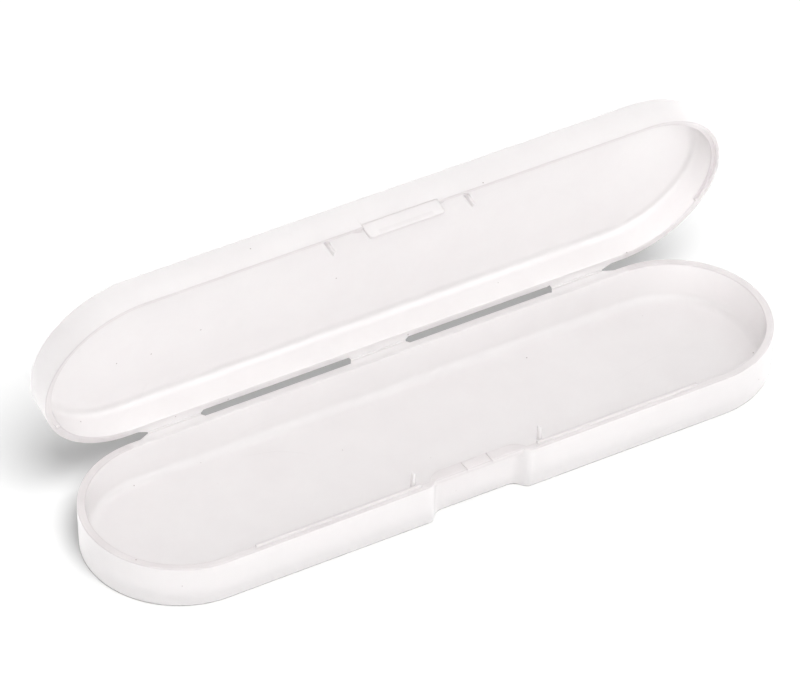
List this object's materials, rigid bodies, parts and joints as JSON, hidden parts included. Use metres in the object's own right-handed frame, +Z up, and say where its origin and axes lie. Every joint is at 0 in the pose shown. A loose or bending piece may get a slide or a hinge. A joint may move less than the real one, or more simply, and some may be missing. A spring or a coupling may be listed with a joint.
{
  "type": "electric toothbrush travel case",
  "caption": "Long slim frosted plastic travel case with round ends, lying open: a tray and a lid on film hinges, with a thumb tab that snaps over a catch.",
  "frame": {"origin": "middle of the tray's flat underside", "axes": "+X along the case, -Y towards the thumb tab, +Z up"},
  "size_m": [0.22, 0.0689, 0.0734],
  "materials": {
    "frosted_shell": "frosted translucent polypropylene, satin outside and inside",
    "hinge_plastic": "the same frosted polypropylene, thinner and slightly whitened where it flexes",
    "latch_plastic": "the same frosted polypropylene, with crisp moulded edges"
  },
  "bodies": {
    "tray": {"tray_shell": "frosted_shell", "rim_tongues": "frosted_shell", "catch_ledge": "latch_plastic", "catch_tongue": "latch_plastic", "tray_guide_ribs": "frosted_shell", "tray_leaf_left": "hinge_plastic", "tray_leaf_middle": "hinge_plastic", "tray_leaf_right": "hinge_plastic", "hinge_film_left": "hinge_plastic", "hinge_film_middle": "hinge_plastic", "hinge_film_right": "hinge_plastic"},
    "lid": {"lid_shell": "frosted_shell", "lid_guide_ribs": "frosted_shell", "lid_leaf_left": "hinge_plastic", "lid_leaf_middle": "hinge_plastic", "lid_leaf_right": "hinge_plastic"},
    "latch": {"thumb_tab": "latch_plastic", "snap_bead": "latch_plastic"}
  },
  "joints": [
    {"name": "lid_hinge", "type": "hinge", "parent": "tray", "child": "lid", "pos_m": [0, 0.03015, 0.01413], "axis": [-1, 0, 0], "range_deg": [-79, 101]},
    {"name": "tab_flex", "type": "hinge", "parent": "lid", "child": "latch", "pos_m": [0, 0.01962, 0.07157], "axis": [-1, 0, 0], "range_deg": [0, 12], "stiffness_Nm_per_rad": 0.02}
  ]
}
